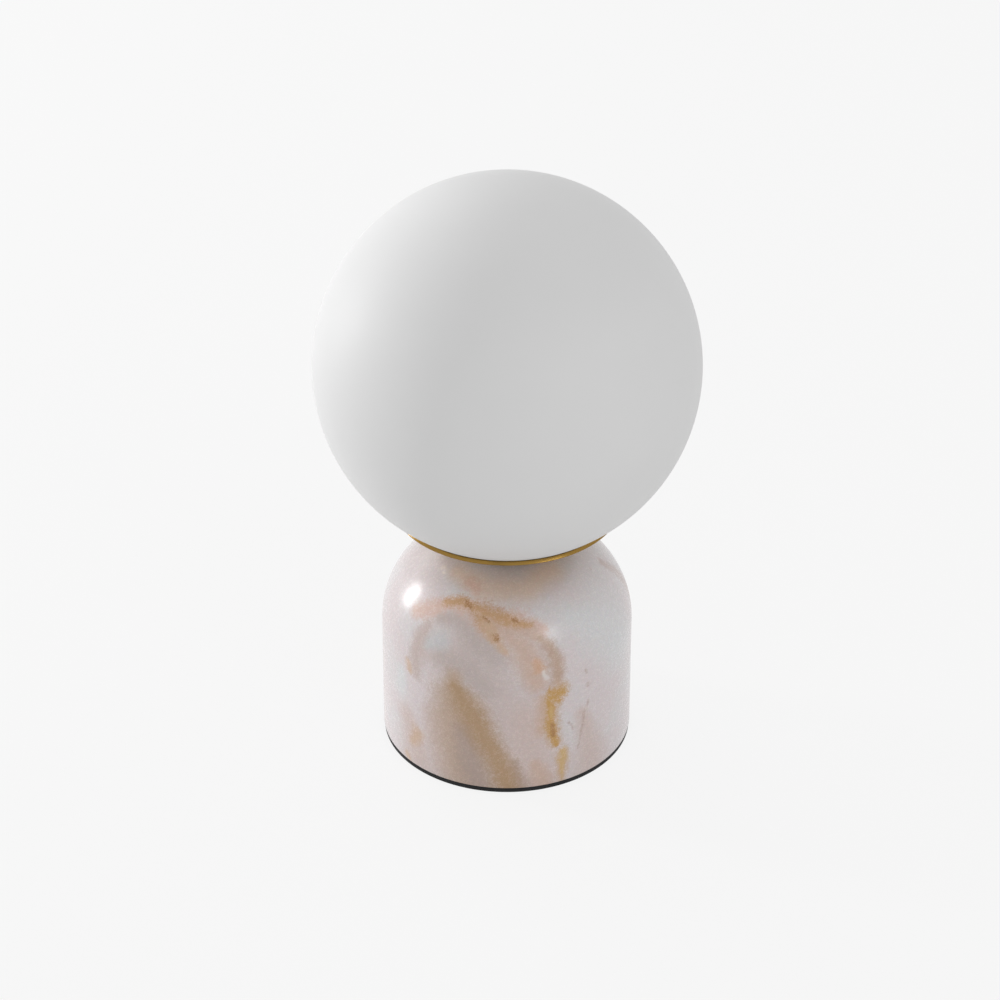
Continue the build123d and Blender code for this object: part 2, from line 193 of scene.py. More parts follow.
def addCylinder(name, radius, low, high, sides, y=0.0):
    middle = (0, y, (low + high) / 2)
    add = bpy.ops.mesh.primitive_cylinder_add
    return addPrimitive(name, add, vertices=sides, radius=radius, depth=high - low, location=middle)


def addBlock(name, low, high):
    middle, size = (Vector(low) + Vector(high)) / 2, Vector(high) - Vector(low)
    return addPrimitive(name, bpy.ops.mesh.primitive_cube_add, size=1, location=middle, scale=size)


# a round bar stretched along X into a long hole's shape
def addSlotBar(name, halfSpread, radius, low, high, sides):
    bar = addCylinder(name, radius, low, high, sides)
    bar.rotation_euler = (0, 0, math.pi / sides)
    settle(bar)
    for side in (-1, 1):
        editPiece(bar)
        selectCorners(bar, lambda corner: corner.x * side > weld)
        bpy.ops.transform.translate(value=(side * halfSpread, 0, 0))
        clearSelection()
    return bar


# turns a piece made about Z so that its +Z points along +Y, then puts its origin at a depth and height
def layAlongY(obj, depth, height):
    obj.rotation_euler = (math.radians(-90), 0, 0)
    obj.location = (0, depth, height)
    settle(obj)


# bores a round hole along Z, and along Y below
def drill(obj, radius, low, high, sides, y=0.0):
    cutWith(obj, addCylinder("drill", radius, low, high, sides, y))


def drillAlongY(obj, radius, start, length, height):
    cutter = addCylinder("drill", radius, 0, length, smallSides)
    layAlongY(cutter, start, height)
    cutWith(obj, cutter)


# points of an arc in the (radius, height) plane, angles in degrees from outwards towards up
def arcPoints(centre, radius, start, end, steps):
    points = []
    for step in range(steps + 1):
        turn = math.radians(start + (end - start) * step / steps)
        points.append((centre[0] + radius * math.cos(turn), centre[1] + radius * math.sin(turn)))
    return points


def ringOutline(inner, outer, low, high):
    return [(inner, low), (outer, low), (outer, high), (inner, high)]


# rounds the corners of an outline: radii holds one for each point, 0 for a sharp one
def roundOutline(points, radii, steps=5):
    rounded = []
    count = len(points)
    for index, (point, radius) in enumerate(zip(points, radii)):
        here = Vector(point)
        if radius == 0:
            rounded.append((here.x, here.y))
            continue
        before = (Vector(points[index - 1]) - here).normalized()
        after = (Vector(points[(index + 1) % count]) - here).normalized()
        half = before.angle(after) / 2
        reach = radius / math.tan(half)
        centre = here + (before + after).normalized() * (radius / math.sin(half))
        start = here + before * reach - centre
        end = here + after * reach - centre
        sweep = start.angle_signed(end)
        for step in range(steps + 1):
            turn = -sweep * step / steps
            x = start.x * math.cos(turn) - start.y * math.sin(turn)
            y = start.x * math.sin(turn) + start.y * math.cos(turn)
            rounded.append((centre.x + x, centre.y + y))
    return rounded


# draws an outline as a chain of points (radius, height), closed unless it starts on the lamp's axis, then
# spins it about that axis
def turnProfile(name, profile, sides):
    first = (profile[0][0], 0, profile[0][1])
    obj = addPrimitive(name, bpy.ops.mesh.primitive_plane_add, size=0.001, location=first)
    editPiece(obj)
    bpy.ops.mesh.select_mode(type="VERT")
    selectAll()
    bpy.ops.mesh.merge(type="CENTER")  # the plane becomes the chain's first corner
    last = profile[0]
    for point in profile[1:] + profile[:1] * (profile[0][0] > 0):
        move = (point[0] - last[0], 0, point[1] - last[1])
        bpy.ops.mesh.extrude_vertices_move(TRANSFORM_OT_translate={"value": move})
        last = point
    selectAll()
    bpy.ops.mesh.remove_doubles(threshold=weld)
    selectAll()
    bpy.ops.mesh.spin(steps=sides, angle=math.tau, center=(0, 0, 0), axis=(0, 0, 1))
    selectAll()
    bpy.ops.mesh.remove_doubles(threshold=2 * weld)
    bpy.ops.mesh.normals_make_consistent(inside=False)
    bpy.ops.object.mode_set(mode="OBJECT")
    return obj


def joinCopies(name, pieces):
    pick(pieces[0])
    for piece in pieces[1:]:
        piece.select_set(True)
    bpy.ops.object.join()
    pieces[0].name = name
    return pieces[0]


def finishPiece(obj, body, material, node, sharpAngle=35):
    settle(obj)
    bpy.ops.object.shade_smooth_by_angle(angle=math.radians(sharpAngle))
    obj.data.materials.clear()
    obj.data.materials.append(bpy.data.materials[material])
    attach(obj, body)
    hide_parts(node)


# building materials
def newMaterial(name):
    material = bpy.data.materials.new(name)
    material.use_nodes = True
    tree = material.node_tree
    return tree, tree.nodes["Principled BSDF"]


def addNode(tree, kind, **attributes):
    node = tree.nodes.new(kind)
    for name, value in attributes.items():
        setattr(node, name, value)
    return node


# links a socket's output, or sets a plain value
def feed(tree, source, socket):
    if isinstance(source, bpy.types.NodeSocket):
        tree.links.new(source, socket)
    else:
        socket.default_value = source


def setSockets(node, values):
    for name, value in values.items():
        feed(node.id_data, value, node.inputs[name])


def addStep(tree, kind, operation, given):
    node = addNode(tree, kind, operation=operation)
    for value, socket in zip(given, node.inputs):
        feed(tree, value, socket)
    return node


def calculate(tree, operation, *given):
    return addStep(tree, "ShaderNodeMath", operation, given).outputs[0]


def vectorStep(tree, operation, *given, scale=None):
    node = addStep(tree, "ShaderNodeVectorMath", operation, given)
    if scale is not None:
        setSockets(node, {"Scale": scale})
    return node.outputs["Value" if operation in ("LENGTH", "DOT_PRODUCT") else "Vector"]


def remap(tree, value, fromMin, fromMax, toMin=0.0, toMax=1.0, smooth=True):
    node = addNode(tree, "ShaderNodeMapRange", interpolation_type="SMOOTHSTEP" if smooth else "LINEAR")
    setSockets(node, {"Value": value, "From Min": fromMin, "From Max": fromMax, "To Min": toMin,
                      "To Max": toMax})
    return node.outputs["Result"]


def mixColour(tree, factor, first, second, blend="MIX"):
    node = addNode(tree, "ShaderNodeMix", data_type="RGBA", blend_type=blend)
    for value, place in ((factor, 0), (first, 6), (second, 7)):  # 6 and 7 are the colour sockets
        feed(tree, value, node.inputs[place])
    return node.outputs[2]


def noiseAt(tree, place, size, detail=4.0, roughness=0.5):
    node = addNode(tree, "ShaderNodeTexNoise")
    setSockets(node, {"Vector": place, "Scale": 1.0 / size, "Detail": detail, "Roughness": roughness})
    return node.outputs


# three noises around 0, as a vector, times a reach
def noiseVector(tree, place, size, reach, detail, roughness=0.5):
    noise = noiseAt(tree, place, size, detail, roughness)["Color"]
    noise = vectorStep(tree, "SUBTRACT", noise, (0.5, 0.5, 0.5))
    return vectorStep(tree, "SCALE", noise, scale=reach)


# object coordinates in millimetres
def millimetres(tree):
    coordinates = addNode(tree, "ShaderNodeTexCoord")
    return vectorStep(tree, "SCALE", coordinates.outputs["Object"], scale=1000.0)


def bumpInto(tree, shader, height, values):
    bump = addNode(tree, "ShaderNodeBump")
    setSockets(bump, {"Strength": values["bumpStrength"], "Distance": values["bump"], "Height": height})
    setSockets(shader, {"Normal": bump.outputs["Normal"]})


def newGroup(name, inputs, outputs):
    group = bpy.data.node_groups.new(name, "ShaderNodeTree")
    kinds = {"value": "NodeSocketFloat", "vector": "NodeSocketVector", "colour": "NodeSocketColor"}
    for way, sockets in (("INPUT", inputs), ("OUTPUT", outputs)):
        for socketName, kind in sockets.items():
            group.interface.new_socket(name=socketName, in_out=way, socket_type=kinds[kind])
    given = group.nodes.new("NodeGroupInput").outputs
    leave = group.nodes.new("NodeGroupOutput").inputs
    return group, given, leave


def placeGroup(tree, group, values):
    node = addNode(tree, "ShaderNodeGroup", node_tree=group)
    setSockets(node, values)
    return node.outputs


# how far a point is from one straight stroke of a stain, as a share of the stroke's half width
def makeStrokeGroup():
    inputs = {"Place": "vector", "Start": "vector", "Along": "vector", "Along by length": "vector",
              "Start width": "value", "Widening": "value", "Nearest": "value"}
    group, given, leave = newGroup("stainStroke", inputs, {"Nearest": "value"})
    back = vectorStep(group, "SUBTRACT", given["Place"], given["Start"])
    share = vectorStep(group, "DOT_PRODUCT", back, given["Along by length"])
    share = calculate(group, "MINIMUM", calculate(group, "MAXIMUM", share, 0.0), 1.0)
    reached = vectorStep(group, "SCALE", given["Along"], scale=share)
    gap = vectorStep(group, "LENGTH", vectorStep(group, "SUBTRACT", back, reached))
    width = calculate(group, "MULTIPLY_ADD", share, given["Widening"], given["Start width"])
    near = calculate(group, "DIVIDE", gap, width)
    group.links.new(calculate(group, "MINIMUM", near, given["Nearest"]), leave["Nearest"])
    return group


# fine speckle and a broad cloud, both around 0.5
def makeGrainGroup():
    inputs = {"Place": "vector", "Grain size": "value", "Cloud size": "value"}
    group, given, leave = newGroup("grainAndCloud", inputs, {"Grain": "value", "Cloud": "value"})
    for size, detail, out in (("Grain size", 3.0, "Grain"), ("Cloud size", 2.0, "Cloud")):
        finer = calculate(group, "DIVIDE", 1.0, given[size])
        scaled = vectorStep(group, "SCALE", given["Place"], scale=finer)
        group.links.new(noiseAt(group, scaled, 1.0, detail, 0.6)["Fac"], leave[out])
    return group


# rings left by turning or spinning, by distance from the lamp's axis and by height
def makeTurnedGroup():
    inputs = {"Place": "vector", "Ring size": "value"}
    group, given, leave = newGroup("turnedMarks", inputs, {"Marks": "value"})
    parts = addNode(group, "ShaderNodeSeparateXYZ")
    group.links.new(given["Place"], parts.inputs[0])
    flat = vectorStep(group, "LENGTH", vectorStep(group, "MULTIPLY", given["Place"], (1.0, 1.0, 0.0)))
    joined = addNode(group, "ShaderNodeCombineXYZ")
    for axis, value in (("X", flat), ("Z", parts.outputs["Z"])):
        group.links.new(calculate(group, "DIVIDE", value, given["Ring size"]), joined.inputs[axis])
    group.links.new(noiseAt(group, joined.outputs[0], 1.0, 3.0, 0.65)["Fac"], leave["Marks"])
    return group


stainStroke = makeStrokeGroup()
grainAndCloud = makeGrainGroup()
turnedMarks = makeTurnedGroup()


def grainTexture(tree, place, values):
    sizes = {"Grain size": values["grainSize"], "Cloud size": values["cloudSize"]}
    return placeGroup(tree, grainAndCloud, {"Place": place, **sizes})


# a roughness that wavers with a mask around 0.5
def waver(tree, mask, values):
    rough, smoother, rougher = take(values, "roughness smoother rougher")
    return remap(tree, mask, 0.3, 0.7, rough - smoother, rough + rougher)


marbleValues = {
    "crownRadius": 0.0135, "arris": 0.0005, "steps": 192, "shoulderSteps": 56, "wallRings": 10,
    "recessRadius": 0.036, "recessDepth": 0.025, "boreRadius": 0.00525, "inletRadius": 0.0048,
    "inletHeight": 0.014, "spotRadius": 0.0064, "spotDepth": 0.002,
    "greyWhite": (0.705, 0.665, 0.67, 1), "pinkWhite": (0.72, 0.64, 0.645, 1),
    "cloudSize": 26.0, "grainSize": 0.6, "clumpSize": 2.2,  # the sizes of patterns are in mm
    "driftSize": 20.0, "drift": 5.0, "fraySize": 3.5, "fray": 2.4,  # and so is how far the stains wander
    "edgeInside": 0.9, "edgeOutside": 0.7,  # half widths on each side of a stain's edge
    "grainInClumps": 1.3, "fraying": 1.8, "speckle": 0.5, "mottle": 0.085,
    "freckleSize": 1.7, "freckle": 0.13,
    "roughness": 0.24, "smoother": 0.03, "rougher": 0.05, "bump": 0.00002, "bumpStrength": 0.15,
    "coat": 0.3, "coatRoughness": 0.42,  # the soft gloss round the sharper one
}

# the stone's stains, laid one over another: tint, strength at the middle, how much grain frays them, the
# width of the edge where it isn't 1, and strokes as chains of points, each (degrees round the axis from the
# front, height in mm, half width in mm). The crown's tint just under the dish is partly the stone's beige
# and partly a painted warm reflection of the brass dish.
stains = {
    "lilacWash": {"tint": (0.635, 0.535, 0.515), "strength": 1.0, "grain": 0.1, "strokes": [
        [(-40, 72, 8), (-22, 76, 13), (-6, 60, 18), (0, 44, 18)], [(12, 80, 7), (13, 60, 10)],
        [(148, 60, 18), (160, 20, 22)], [(232, 60, 14), (236, 20, 16)]]},
    "lowerWash": {"tint": (0.65, 0.52, 0.48), "strength": 0.85, "grain": 0.1, "strokes": [
        [(-52, 27, 7), (-46, 8, 12)], [(-34, 38, 8), (-28, 10, 14)], [(9, 42, 9), (12, 24, 13),
          (12, 6, 15)], [(36, 38, 4), (40, 20, 8), (42, 6, 12)], [(130, 20, 12), (190, 12, 16),
          (240, 24, 12)]]},
    "greyInsideArch": {"tint": (0.56, 0.475, 0.45), "strength": 0.95, "grain": 0.1, "strokes": [
        [(-37, 88, 4), (-27, 90, 5), (-17, 86, 8), (-6, 78, 8)], [(-30, 72, 6), (-18, 68, 8),
          (-10, 60, 6)], [(166, 66, 8), (186, 64, 8)]]},
    "coolPatches": {"tint": (0.60, 0.59, 0.595), "strength": 0.9, "grain": 0.1, "strokes": [
        [(-39, 77, 4.5), (-33, 79.5, 5)], [(128, 86, 7), (116, 70, 7)]]},
    "coolWhite": {"tint": (0.71, 0.71, 0.715), "strength": 0.9, "grain": 0.1, "strokes": [
        [(-57, 51, 4), (-58, 42, 5)], [(36, 88, 7), (52, 80, 14), (62, 66, 13)], [(100, 60, 18),
          (108, 30, 16)]]},
    # the stone's beige at the crown, warmed by a painted reflection of the brass dish that stands just
    # above it
    "beigeCrownAndBrassReflection": {"tint": (0.78, 0.63, 0.545), "strength": 0.95, "grain": 0.2, "strokes": [
        [(-44, 103, 4), (-14, 101, 7), (14, 101, 6.5), (40, 104, 6)], [(140, 104, 6), (180, 102, 8),
          (220, 104, 6)]]},
    "orangeBlush": {"tint": (0.74, 0.525, 0.445), "strength": 0.9, "grain": 0.7, "strokes": [
        [(-54, 86, 3.6), (-47, 89, 5), (-40, 92, 4), (-35, 94.5, 3)], [(12, 91, 3), (17.5, 87, 3.6)],
        [(-35, 94.5, 3.4), (-20, 94.5, 5), (-8, 91, 6), (6, 92, 5)], [(-30, 102, 3), (-23, 101, 3)],
        [(146, 64, 4), (160, 74, 5)], [(238, 78, 4), (233, 70, 4)]]},
    "warmWash": {"tint": (0.635, 0.46, 0.375), "strength": 0.9, "grain": 0.3, "strokes": [
        [(-17, 93, 4), (-9, 90.5, 6), (4, 90, 5.5), (14, 86, 4)], [(0, 88, 4), (7, 82, 7), (11, 73, 7.5),
          (14, 62, 5)], [(17, 52, 4), (16, 36, 4)], [(14, 15, 3), (17, 4, 7)]]},
    "rightLeg": {"tint": (0.53, 0.36, 0.26), "strength": 0.88, "grain": 0.4, "strokes": [
        [(17, 84, 1.8), (20.6, 80, 3.2), (23, 75, 3.8), (23.4, 69, 3.8), (22.6, 61, 3)], [(236, 74, 3),
          (232, 66, 3)]]},
    "leftLeg": {"tint": (0.585, 0.475, 0.44), "strength": 0.9, "grain": 0.4, "strokes": [
        [(-43, 83, 3), (-45.5, 77, 4.4), (-46, 67, 4.4), (-46, 57, 3.6)], [(84, 96, 2), (93, 76, 5),
          (90, 50, 4), (98, 22, 2)]]},
    "arch": {"tint": (0.60, 0.36, 0.185), "strength": 0.95, "grain": 0.9, "strokes": [
        [(-38, 94.2, 2.0), (-30, 96.0, 2.9), (-21, 95.6, 2.9), (-14, 94.4, 3.9), (-4, 92.9, 3.1),
          (5, 91.4, 2.2), (12, 90, 1.6)], [(-12, 91.5, 3.6), (-8.6, 88.5, 2.8), (-5, 84, 2)],
        [(106, 18, 1.2), (120, 33, 2.6), (134, 47, 3.8), (150, 61, 2.4), (170, 73, 4.2), (194, 80, 3),
          (214, 75, 1.4)]]},
    "band": {"tint": (0.545, 0.40, 0.305), "strength": 0.97, "grain": 0.35, "strokes": [
        [(-25, 63, 5), (-27, 51, 10.5), (-25, 38, 12), (-22, 24, 12.5), (-18, 6, 13)], [(148, 8, 10),
          (163, 25, 10), (175, 42, 6)]]},
    "mauveInBand": {"tint": (0.465, 0.355, 0.31), "strength": 0.9, "grain": 0.35, "strokes": [
        [(-20, 35, 5), (-17, 22, 7.5), (-14, 10, 8), (-12, 3, 8)], [(4, 17, 2.6), (5, 4, 5)]]},
    "ridge": {"tint": (0.465, 0.295, 0.16), "strength": 0.95, "grain": 0.4, "strokes": [
        [(-24, 58, 3.6), (-20, 51, 7), (-16, 44, 8), (-12.5, 36, 8), (-9, 28, 7.4), (-4.5, 20, 7.2),
          (-1.2, 12, 7.4), (0.4, 4, 7.2)], [(156, 4, 4.6), (168, 24, 5), (178, 38, 3)]]},
    "ochrePatches": {"tint": (0.65, 0.455, 0.32), "strength": 0.85, "grain": 0.6, "strokes": [
        [(-45.5, 21.5, 4.4), (-49, 16, 3.2)], [(-53, 6, 1.8), (-51.5, 4, 1.8)], [(-50.5, 61, 2.2),
          (-50.5, 57, 2.2)], [(-10, 90, 3), (-5, 85.5, 2.8), (-1, 79.5, 2)]]},
    "goldHalo": {"tint": (0.61, 0.42, 0.28), "strength": 0.9, "grain": 0.6, "strokes": [
        [(25, 58, 4), (20.4, 52, 3.8), (20.2, 38, 4.4), (22, 26, 3)], [(25.8, 19, 3.2), (26.2, 12, 3.4),
          (26.4, 5, 2.2)], [(232, 68, 4), (238, 52, 4), (236, 35, 4.4), (241, 18, 2.6)]]},
    "gold": {"tint": (0.57, 0.32, 0.08), "strength": 0.95, "grain": 0.8, "strokes": [
        [(19.2, 59, 1.1), (19.4, 53, 1.6), (19.8, 46, 1.9), (20.2, 39, 2.5), (21.3, 33, 2.7), (22, 28, 2),
          (22.6, 24.5, 1.1)], [(20.4, 56, 2.4), (24.6, 54.6, 3.4)], [(20.6, 52.6, 2.2),
          (23.6, 51.6, 2.4)], [(232, 66, 2), (237.6, 53, 2.6), (236, 36, 2.6), (239, 26, 1.6)]]},
    "paleGold": {"tint": (0.655, 0.44, 0.185), "strength": 0.82, "grain": 0.8, "strokes": [
        [(25.6, 20.5, 2), (25.9, 14, 2.3), (26.3, 9.5, 1.1), (26.4, 6, 0.9)], [(20, 47, 0.7),
          (20.2, 43, 0.7)], [(241, 20, 1.6), (241, 14, 1.6)]]},
    "brownFlecks": {"tint": (0.40, 0.19, 0.065), "strength": 0.75, "grain": 1.2, "strokes": [
        [(-25.5, 96, 1.1), (-22.5, 95.4, 1.4)], [(-5.2, 86, 1.4), (-4, 84.6, 1.3)], [(2, 92.4, 0.5),
          (6, 91.8, 0.7)], [(-12, 92.4, 0.7), (-9.5, 91.2, 0.8)], [(20.4, 39, 0.8), (21.2, 36, 1.0),
          (21.8, 31.5, 1.2)], [(195, 80, 1.5), (203, 79, 1.4)], [(237, 44, 1), (236, 38, 1.2)]]},
    "orangeSpot": {"tint": (0.67, 0.40, 0.25), "strength": 0.75, "grain": 0.6, "strokes": [
        [(13.8, 74, 2.2), (15.2, 70, 2.6)], [(158, 70, 2.2), (162, 72, 2)]]},
    "fineThreads": {"tint": (0.42, 0.29, 0.23), "strength": 0.4, "grain": 0.8, "strokes": [
        [(38.8, 62.8, 0.9), (39, 61.4, 0.9)], [(39.6, 54, 1), (39.8, 52.6, 1)], [(39.1, 44, 0.9),
          (38.8, 42.6, 0.9)], [(37.5, 40, 0.8), (35.4, 30, 0.8), (33.8, 19, 0.6)], [(69.5, 98.2, 0.6),
          (69.7, 97.8, 0.6)], [(31, 31, 0.7), (29, 36, 0.7)], [(110, 88, 0.7), (118, 66, 0.7)]]},
    "whiteCrystals": {"tint": (0.82, 0.76, 0.73), "strength": 0.7, "grain": 0.7, "edge": 0.9,
        "strokes": [[(17.2, 68.4, 0.8), (17.6, 64.6, 1.1)], [(-1.6, 90.4, 0.3), (5.6, 74, 0.3)]]},
}


# a point of the stone's skin, in millimetres
def onMarble(degrees, height):
    outer = marbleRadius * 1000
    shoulder = outer - marbleValues["crownRadius"] * 1000
    rise = max(0.0, height - (marbleTop * 1000 - shoulder))
    reach = outer - shoulder + math.sqrt(max(0.0, shoulder ** 2 - rise ** 2))
    turn = math.radians(degrees)
    return Vector((reach * math.sin(turn), -reach * math.cos(turn), height))


def stainDistance(tree, place, strokes):
    nearest = 50.0  # farther than any stain's edge
    for chain in strokes:
        for a, b in zip(chain, chain[1:]):
            start = onMarble(a[0], a[1])
            along = onMarble(b[0], b[1]) - start
            values = {"Place": place, "Start": start, "Along": along, "Nearest": nearest,
                      "Along by length": along / along.length_squared, "Start width": a[2],
                      "Widening": b[2] - a[2]}
            nearest = placeGroup(tree, stainStroke, values)["Nearest"]
    return nearest


def makeMarbleMaterial(values):
    tree, shader = newMaterial("polishedMarble")
    place = millimetres(tree)
    drift = noiseVector(tree, place, values["driftSize"], values["drift"], detail=2.0)
    fray = noiseVector(tree, place, values["fraySize"], values["fray"], detail=3.0, roughness=0.6)
    frayed = vectorStep(tree, "ADD", vectorStep(tree, "ADD", place, drift), fray)
    texture = grainTexture(tree, place, values)
    clumps = noiseAt(tree, place, values["clumpSize"], detail=4.0, roughness=0.7)["Fac"]
    clumps = calculate(tree, "SUBTRACT", clumps, 0.5)
    fine = calculate(tree, "SUBTRACT", texture["Grain"], 0.5)
    grain = calculate(tree, "MULTIPLY_ADD", fine, values["grainInClumps"], clumps)
    cloud = remap(tree, texture["Cloud"], fromMin=0.35, fromMax=0.65)
    colour = mixColour(tree, cloud, values["greyWhite"], values["pinkWhite"])
    for stain in stains.values():
        edge = stain.get("edge", 1.0)
        inside, outside = 1.0 - values["edgeInside"] * edge, 1.0 + values["edgeOutside"] * edge
        distance = stainDistance(tree, frayed, stain["strokes"])
        distance = calculate(tree, "MULTIPLY_ADD", grain, stain["grain"] * values["fraying"], distance)
        mask = remap(tree, distance, inside, outside, 1.0, 0.0)
        speckle = -stain["grain"] * values["speckle"]
        strength = calculate(tree, "MULTIPLY_ADD", grain, speckle, stain["strength"])
        colour = mixColour(tree, calculate(tree, "MULTIPLY", mask, strength), colour, (*stain["tint"], 1))
    tone = remap(tree, grain, -0.4, 0.4, 1.0 - values["mottle"], 1.0 + values["mottle"], smooth=False)
    colour = mixColour(tree, 1.0, colour, tone, blend="MULTIPLY")
    size, reach = take(values, "freckleSize freckle")
    freckle = noiseVector(tree, place, size, reach, detail=3.0, roughness=0.65)
    colour = vectorStep(tree, "MULTIPLY", colour, vectorStep(tree, "ADD", freckle, (1.0, 1.0, 1.0)))
    rough, smoother, rougher = take(values, "roughness smoother rougher")
    rough = remap(tree, grain, -0.3, 0.3, rough - smoother, rough + rougher)
    setSockets(shader, {"Base Color": colour, "Roughness": rough, "Coat Weight": values["coat"],
                        "Coat Roughness": values["coatRoughness"]})
    bumpInto(tree, shader, texture["Grain"], values)


def makeMarbleBase(values):
    stone = addCylinder("marbleBase", marbleRadius, marbleFoot, marbleTop, values["steps"])
    shoulder = marbleRadius - values["crownRadius"]
    bevelEdges(stone, ringAt(marbleTop), shoulder, values["shoulderSteps"])
    bevelEdges(stone, ringAt(marbleFoot), values["arris"])
    editPiece(stone)
    for ring in range(1, values["wallRings"]):
        selectAll()
        height = marbleFoot + (marbleTop - shoulder - marbleFoot) * ring / values["wallRings"]
        bpy.ops.mesh.bisect(plane_co=(0, 0, height), plane_no=(0, 0, 1))
    clearSelection()
    recess, ceiling = values["recessRadius"], marbleFoot + values["recessDepth"]
    drill(stone, recess, marbleFoot - farPast, ceiling, largeSides)
    drill(stone, values["boreRadius"], marbleFoot, marbleTop + farPast, tinySides)
    drillAlongY(stone, values["inletRadius"], 0, marbleRadius + farPast, values["inletHeight"])
    spotFloor = marbleRadius - values["spotDepth"]
    drillAlongY(stone, values["spotRadius"], spotFloor, farPast, values["inletHeight"])
    makeMarbleMaterial(values)
    finishPiece(stone, "base", "polishedMarble", "marble_base", sharpAngle=30)


makeMarbleBase(marbleValues)
print("marble base made")


globeValues = {
    "wall": 0.003, "neckRadius": 0.025, "rootRound": 0.0009, "lipRound": 0.0009,
    "steps": 192, "rings": 128, "roundSteps": 4,
    "colour": (0.803, 0.803, 0.803, 1), "cloudSize": 60.0, "mottle": 0.01, "grainSize": 0.35,
    "roughness": 0.55, "smoother": 0.03, "rougher": 0.03, "specular": 0.4, "bump": 0.00002,
    "bumpStrength": 0.4,
}


def makeOpalMaterial(values):
    tree, shader = newMaterial("satinOpalGlass")
    texture = grainTexture(tree, millimetres(tree), values)
    pale, dim = 1.0 + values["mottle"], 1.0 - values["mottle"]
    tone = remap(tree, texture["Cloud"], 0.3, 0.7, dim, pale, smooth=False)
    colour = mixColour(tree, 1.0, values["colour"], tone, blend="MULTIPLY")
    rough = waver(tree, texture["Grain"], values)
    setSockets(shader, {"Base Color": colour, "Roughness": rough, "Specular IOR Level": values["specular"]})
    bumpInto(tree, shader, texture["Grain"], values)


def makeGlassGlobe(values):
    sphere = {"radius": globeRadius, "segments": values["steps"], "ring_count": values["rings"]}
    shell = addPrimitive("glassGlobe", bpy.ops.mesh.primitive_uv_sphere_add, location=(0, 0, globeCentre),
                         **sphere)
    root = globeCentre - math.sqrt(globeRadius ** 2 - values["neckRadius"] ** 2)
    editPiece(shell)
    selectAll()
    bpy.ops.mesh.bisect(plane_co=(0, 0, root), plane_no=(0, 0, 1), clear_inner=True)
    selectEdges(shell, ringAt(root))
    bpy.ops.mesh.extrude_edges_move(TRANSFORM_OT_translate={"value": (0, 0, globeFoot - root)})
    bevelEdges(shell, ringAt(root), values["rootRound"], values["roundSteps"])
    applyModifier(shell, "SOLIDIFY", thickness=values["wall"], offset=-1)
    bevelEdges(shell, ringAt(globeFoot), values["lipRound"], values["roundSteps"])
    makeOpalMaterial(values)
    finishPiece(shell, "globe", "satinOpalGlass", "glass_globe")


makeGlassGlobe(globeValues)
print("glass globe made")


dishValues = {
    "sheet": 0.0014, "gap": 0.0008,
    "rimGap": 0.00014,  # the rim is spun thicker, towards the globe
    "rimStart": 31.0, "edgeAngle": 35.9,  # degrees from straight down, about the globe's centre
    "holeRadius": 0.0051, "wellRadius": 0.0267, "bend": 0.001, "edgeRound": 0.0003,
    "bendInside": 0.7, "bendOutside": 0.3,  # shares of the bend that lie before the sphere
    "steps": 192, "rimSteps": 26,
}
brassValues = {
    "colour": (0.285, 0.17, 0.043, 1), "dark": (0.19, 0.115, 0.033, 1),
    "ringSize": 0.25, "grainSize": 0.6, "cloudSize": 14.0,
    "tarnish": 0.5, "tarnishFrom": 0.42, "tarnishTo": 0.72,
    "roughness": 0.2, "smoother": 0.05, "rougher": 0.1, "anisotropy": 0.3,
    "bump": 0.00004, "bumpStrength": 0.6,
}


def makeBrassMaterial(name, values):
    tree, shader = newMaterial(name)
    place = millimetres(tree)
    marks = placeGroup(tree, turnedMarks, {"Place": place, "Ring size": values["ringSize"]})["Marks"]
    cloud = grainTexture(tree, place, values)["Cloud"]
    tarnish = remap(tree, cloud, values["tarnishFrom"], values["tarnishTo"], 0.0, values["tarnish"])
    colour = mixColour(tree, tarnish, values["colour"], values["dark"])
    rough = waver(tree, marks, values)
    setSockets(shader, {"Base Color": colour, "Roughness": rough, "Metallic": 1.0,
                        "Anisotropic": values["anisotropy"]})
    bumpInto(tree, shader, marks, values)


# a point of a sphere about the globe's centre, angle in degrees from straight down
def spherePoint(radius, angle):
    turn = math.radians(angle)
    return (radius * math.sin(turn), globeCentre - radius * math.cos(turn))


def spherePoints(radius, start, end, steps):
    return [spherePoint(radius, start + (end - start) * step / steps) for step in range(steps + 1)]


def angleAt(radius, reach):
    return math.degrees(math.asin(reach / radius))


def makeBrassDish(values):
    sheet, bend, well, hole = take(values, "sheet bend wellRadius holeRadius")
    edge, soft = take(values, "edgeAngle edgeRound")
    under = spanOf("brass_dish")[1]
    floor = under + sheet
    inside = globeRadius + values["gap"]
    outside = inside + sheet
    wellOutside = well + sheet
    innerFoot = spherePoint(inside, angleAt(inside, well))[1]
    outerFoot = spherePoint(outside, angleAt(outside, wellOutside))[1]
    profile = roundOutline([(hole, floor), (well, floor), (well, innerFoot)], [0, bend, 0])
    profile[-1] = (well, innerFoot - bend)
    start = angleAt(inside, well + bend * values["bendInside"])
    profile += spherePoints(inside, start, values["rimStart"], values["rimSteps"])
    back = math.degrees(soft / outside)
    rimInside = globeRadius + values["rimGap"]
    lower = edge - back * 3
    rim = [spherePoint(rimInside, lower), spherePoint(rimInside, edge)]
    rim += [spherePoint(outside, edge), spherePoint(outside, lower)]
    profile += roundOutline(rim, [0, soft, soft, 0])[1:-1]
    end = angleAt(outside, wellOutside + bend * values["bendOutside"])
    profile += spherePoints(outside, edge - back * 2, end, values["rimSteps"])
    wall = [(wellOutside, outerFoot - bend * values["bendOutside"]), (wellOutside, under), (hole, under)]
    profile += roundOutline(wall, [0, bend + sheet, 0], steps=8)
    piece = turnProfile("brassDish", profile, values["steps"])
    makeBrassMaterial("spunBrass", brassValues)
    finishPiece(piece, "base", "spunBrass", "brass_dish")


